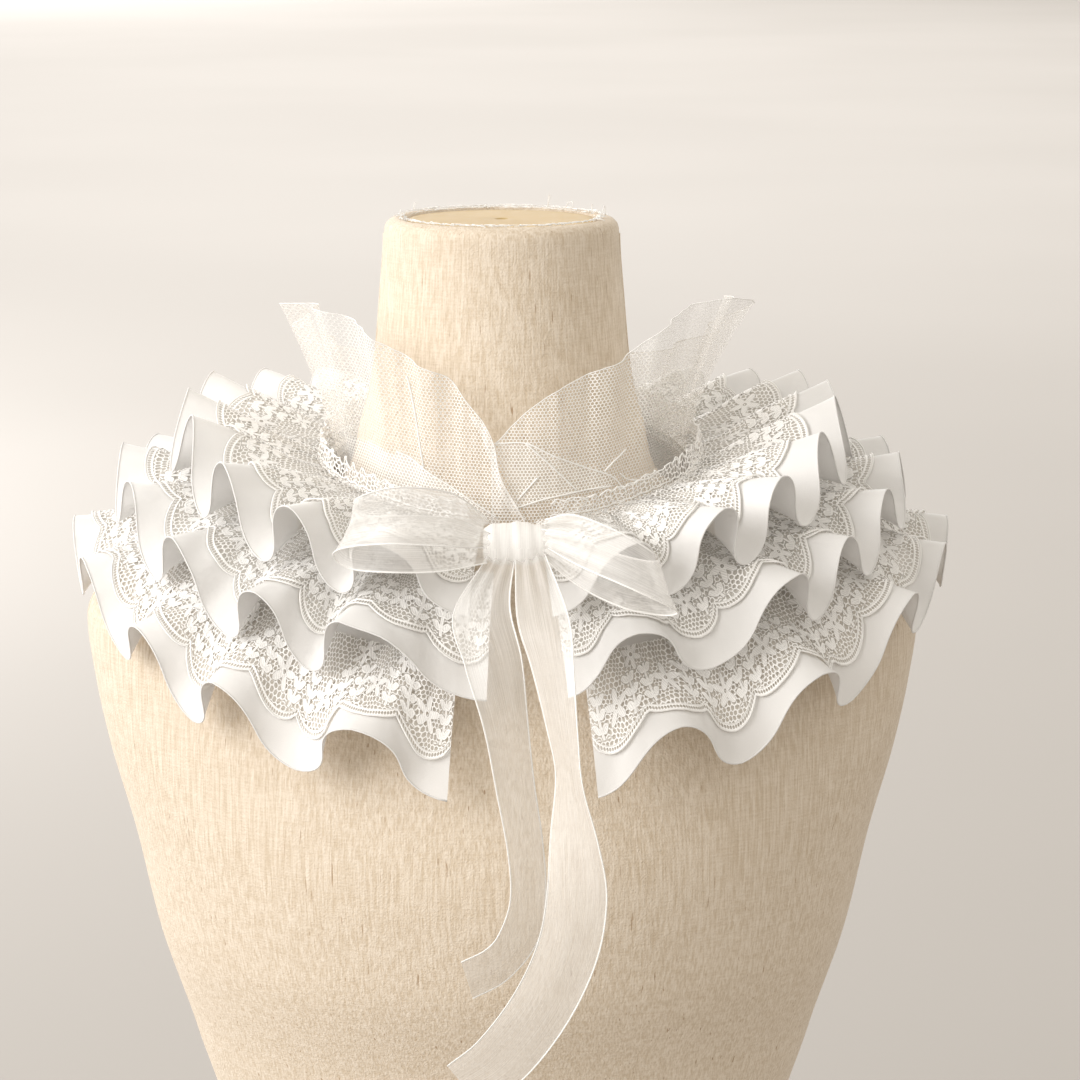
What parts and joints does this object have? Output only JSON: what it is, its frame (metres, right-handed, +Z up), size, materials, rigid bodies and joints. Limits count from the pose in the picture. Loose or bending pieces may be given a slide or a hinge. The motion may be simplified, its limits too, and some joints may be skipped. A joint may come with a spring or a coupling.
{
  "type": "ruffled lace collar on a dress form",
  "caption": "Wide round lace collar of gathered tiers with a standing net ruffle and a ribbon bow, worn on a limbless linen dress form that stands on its flat base.",
  "frame": {"origin": "centre of the dress form's flat base", "axes": "+Z up, the front looks towards -Y, +X is the wearer's left"},
  "size_m": [0.393, 0.3319, 0.65],
  "materials": {
    "linen": "natural slubbed linen, matte",
    "neck_disc": "pale tan disc, matte",
    "cloth": "fine white cloth, soft sheen",
    "lace": "white machine lace, matte threads",
    "net": "sheer white net",
    "ribbon": "sheer white ribbon with corded edges"
  },
  "bodies": {
    "root": {"dress_form": "linen", "neck_cap": "neck_disc", "collar_base": "cloth", "tier_upper_cloth": "cloth", "tier_upper_lace": "lace", "tier_middle_cloth": "cloth", "tier_middle_lace": "lace", "tier_lower_cloth": "cloth", "tier_lower_lace": "lace", "neck_heading": "lace", "net_ruffle": "net", "ribbon_knot": "ribbon", "bow_loop_left": "ribbon", "bow_loop_right": "ribbon", "ribbon_tail_left": "ribbon", "ribbon_tail_right": "ribbon"}
  },
  "joints": []
}
